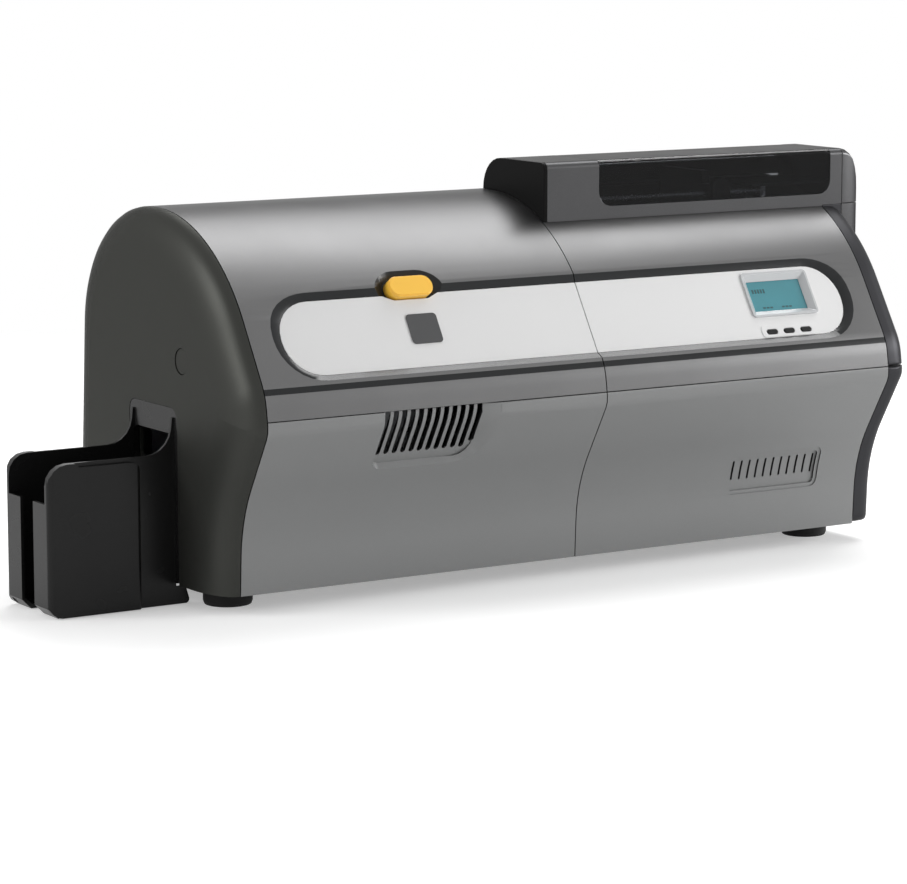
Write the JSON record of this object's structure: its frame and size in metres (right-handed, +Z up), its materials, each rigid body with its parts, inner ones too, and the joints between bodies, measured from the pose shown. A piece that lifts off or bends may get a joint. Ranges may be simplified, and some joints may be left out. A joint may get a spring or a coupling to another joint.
{
  "type": "id card printer",
  "caption": "Desktop card printer with a hinged print cover, a card feeder with a smoked window lid on top, a reject drawer, a display with keys and a removable output hopper.",
  "frame": {"origin": "centre of the footprint's bounding rectangle, on the table", "axes": "+X along the card path to the right as seen from the front, from the output hopper towards the feeder's rounded end; +Y from the front to the rear; +Z up"},
  "size_m": [0.7054, 0.2748, 0.306],
  "materials": {
    "cover_grey": "metallic satin paint with fine flake",
    "panel_grey": "satin metallic paint",
    "cap_grey": "fine satin grain",
    "end_grey": "fine satin grain",
    "hopper_black": "fine satin grain",
    "trim_white": "glossy",
    "badge": "glossy dark tile with a light rim",
    "bezel_white": "glossy",
    "display": "lit teal panel behind clear glass",
    "key_black": "satin",
    "button_amber": "semi-gloss amber",
    "feeder_grey": "brushed metallic paint",
    "end_black": "semi-gloss",
    "smoked_lid": "smoked clear plastic",
    "inner_black": "moulded",
    "steel": "plain ground steel",
    "zinc": "folded zinc-plated sheet",
    "rubber": "matt rubber",
    "belt": "matt rubber",
    "roller_grey": "ground rubber",
    "cleaning_blue": "tacky silicone",
    "spool_white": "moulded",
    "film": "thin dye film",
    "head": "anodised, finned",
    "flipper_blue": "moulded",
    "board_green": "solder mask",
    "psu": "folded sheet",
    "ports": "plated",
    "pan": "powder coat",
    "rear_grey": "satin paint"
  },
  "bodies": {
    "printer": {"base_pan": "pan", "rear_panel": "rear_grey", "left_end_cap": "cap_grey", "cap_plug": "cap_grey", "front_left_panel": "panel_grey", "front_right_panel": "panel_grey", "right_lower_cap": "end_grey", "right_upper_cap": "end_grey", "right_cover": "cover_grey", "right_trim": "trim_white", "display_bezel": "bezel_white", "display_module": "display", "cover_hinge_pin": "steel", "feeder_housing": "feeder_grey", "feeder_end_plate": "end_black", "feeder_end_cap": "feeder_grey", "lid_hinge_pin": "steel", "card_tray": "inner_black", "pusher_rod": "steel", "reject_housing": "end_grey", "chassis_front": "zinc", "chassis_rear": "zinc", "drive_belt": "belt", "drive_motor": "inner_black", "ribbon_film": "film", "ribbon_guides": "steel", "main_board": "board_green", "power_supply": "psu", "fan_housing": "inner_black", "power_inlet": "inner_black", "data_ports": "ports", "foot_front_left": "rubber", "foot_front_right": "rubber", "foot_rear_left": "rubber", "foot_rear_right": "rubber"},
    "cover": {"print_cover": "cover_grey", "left_trim": "trim_white", "badge_tile": "badge", "latch_pin": "steel"},
    "release_button": {"cover_button": "button_amber"},
    "latch": {"cover_latch": "inner_black"},
    "left_key": {"key_left": "key_black"},
    "middle_key": {"key_middle": "key_black"},
    "right_key": {"key_right": "key_black"},
    "feeder_window": {"feeder_lid": "smoked_lid"},
    "pusher": {"card_pusher": "inner_black"},
    "reject_drawer": {"reject_bin": "feeder_grey"},
    "hopper": {"output_hopper": "hopper_black"},
    "exit_drive": {"exit_roller": "roller_grey"},
    "platen": {"platen_roller": "roller_grey"},
    "entry_drive": {"entry_roller": "roller_grey"},
    "exit_pinch": {"exit_pinch_roller": "steel"},
    "cleaner": {"cleaning_roller": "cleaning_blue"},
    "motor_shaft": {"motor_pulley": "steel"},
    "supply_spool": {"ribbon_supply": "spool_white"},
    "takeup_spool": {"ribbon_takeup": "spool_white"},
    "print_head": {"printhead": "head"},
    "flipper": {"card_flipper": "flipper_blue"},
    "fan": {"fan_rotor": "inner_black"},
    "mains_switch": {"power_switch": "key_black"}
  },
  "joints": [
    {"name": "cover_open", "type": "hinge", "parent": "printer", "child": "cover", "pos_m": [-0.0893, 0.10282, 0.24016], "axis": [-1, 0, 0], "range_deg": [0, 75]},
    {"name": "button_press", "type": "slide", "parent": "cover", "child": "release_button", "axis": [0, 0.848, -0.5299], "range_m": [0, 0.003], "stiffness_N_per_m": 700, "springref_m": -0.0015},
    {"name": "latch_tilt", "type": "hinge", "parent": "cover", "child": "latch", "pos_m": [-0.0923, -0.08862, 0.19671], "axis": [-1, 0, 0], "range_deg": [0, 7.2]},
    {"name": "key_left_press", "type": "slide", "parent": "printer", "child": "left_key", "axis": [0, 0.848, -0.5299], "range_m": [0, 0.0008], "stiffness_N_per_m": 1500, "springref_m": -0.0004},
    {"name": "key_middle_press", "type": "slide", "parent": "printer", "child": "middle_key", "axis": [0, 0.848, -0.5299], "range_m": [0, 0.0008], "stiffness_N_per_m": 1500, "springref_m": -0.0004},
    {"name": "key_right_press", "type": "slide", "parent": "printer", "child": "right_key", "axis": [0, 0.848, -0.5299], "range_m": [0, 0.0008], "stiffness_N_per_m": 1500, "springref_m": -0.0004},
    {"name": "window_open", "type": "hinge", "parent": "printer", "child": "feeder_window", "pos_m": [0.2107, 0.00874, 0.302], "axis": [-1, 0, 0], "range_deg": [0, 95]},
    {"name": "pusher_slide", "type": "slide", "parent": "printer", "child": "pusher", "axis": [1, 0, 0], "range_m": [-0.105, 0.018]},
    {"name": "reject_drawer_slide", "type": "slide", "parent": "printer", "child": "reject_drawer", "axis": [1, 0, 0], "range_m": [0, 0.08]},
    {"name": "hopper_release", "type": "slide", "parent": "printer", "child": "hopper", "axis": [-1, 0, 0], "range_m": [0, 0.05]},
    {"name": "motor_spin", "type": "hinge", "parent": "printer", "child": "motor_shaft", "pos_m": [-0.0353, -0.00026, 0.062], "axis": [0, 1, 0], "continuous": true},
    {"name": "exit_drive_spin", "type": "hinge", "parent": "printer", "child": "exit_drive", "pos_m": [-0.2013, -0.00026, 0.1036], "axis": [0, 1, 0], "continuous": true},
    {"name": "platen_spin", "type": "hinge", "parent": "printer", "child": "platen", "pos_m": [-0.0993, -0.00026, 0.1036], "axis": [0, 1, 0], "continuous": true},
    {"name": "entry_drive_spin", "type": "hinge", "parent": "printer", "child": "entry_drive", "pos_m": [0.0287, -0.00026, 0.1036], "axis": [0, 1, 0], "continuous": true},
    {"name": "exit_pinch_spin", "type": "hinge", "parent": "printer", "child": "exit_pinch", "pos_m": [-0.2013, -0.00026, 0.1194], "axis": [0, 1, 0], "continuous": true},
    {"name": "cleaner_spin", "type": "hinge", "parent": "printer", "child": "cleaner", "pos_m": [0.0287, -0.00026, 0.1194], "axis": [0, 1, 0], "continuous": true},
    {"name": "takeup_spin", "type": "hinge", "parent": "printer", "child": "takeup_spool", "pos_m": [-0.0393, -0.00026, 0.166], "axis": [0, 1, 0], "continuous": true},
    {"name": "supply_spin", "type": "hinge", "parent": "printer", "child": "supply_spool", "pos_m": [-0.1613, -0.00026, 0.166], "axis": [0, 1, 0], "continuous": true},
    {"name": "head_lift", "type": "hinge", "parent": "printer", "child": "print_head", "pos_m": [-0.0713, -0.00026, 0.15], "axis": [0, 1, 0], "range_deg": [0, 15]},
    {"name": "flipper_turn", "type": "hinge", "parent": "printer", "child": "flipper", "pos_m": [0.0987, -0.00026, 0.112], "axis": [0, 1, 0], "continuous": true},
    {"name": "fan_spin", "type": "hinge", "parent": "printer", "child": "fan", "pos_m": [0.2407, 0.11574, 0.118], "axis": [0, 1, 0], "continuous": true},
    {"name": "mains_switch_rock", "type": "hinge", "parent": "printer", "child": "mains_switch", "pos_m": [-0.1338, 0.12923, 0.052], "axis": [1, 0, 0], "range_deg": [-18, 0]}
  ],
  "couplings": [
    {"joint": "latch_tilt", "follows": "button_press", "rad_per_m": 40.7},
    {"joint": "exit_drive_spin", "follows": "motor_spin", "ratio": 1},
    {"joint": "platen_spin", "follows": "motor_spin", "ratio": 1},
    {"joint": "entry_drive_spin", "follows": "motor_spin", "ratio": 1},
    {"joint": "exit_pinch_spin", "follows": "motor_spin", "ratio": -1.1429},
    {"joint": "cleaner_spin", "follows": "motor_spin", "ratio": -1.1429},
    {"joint": "supply_spin", "follows": "takeup_spin", "ratio": 0.71429}
  ]
}
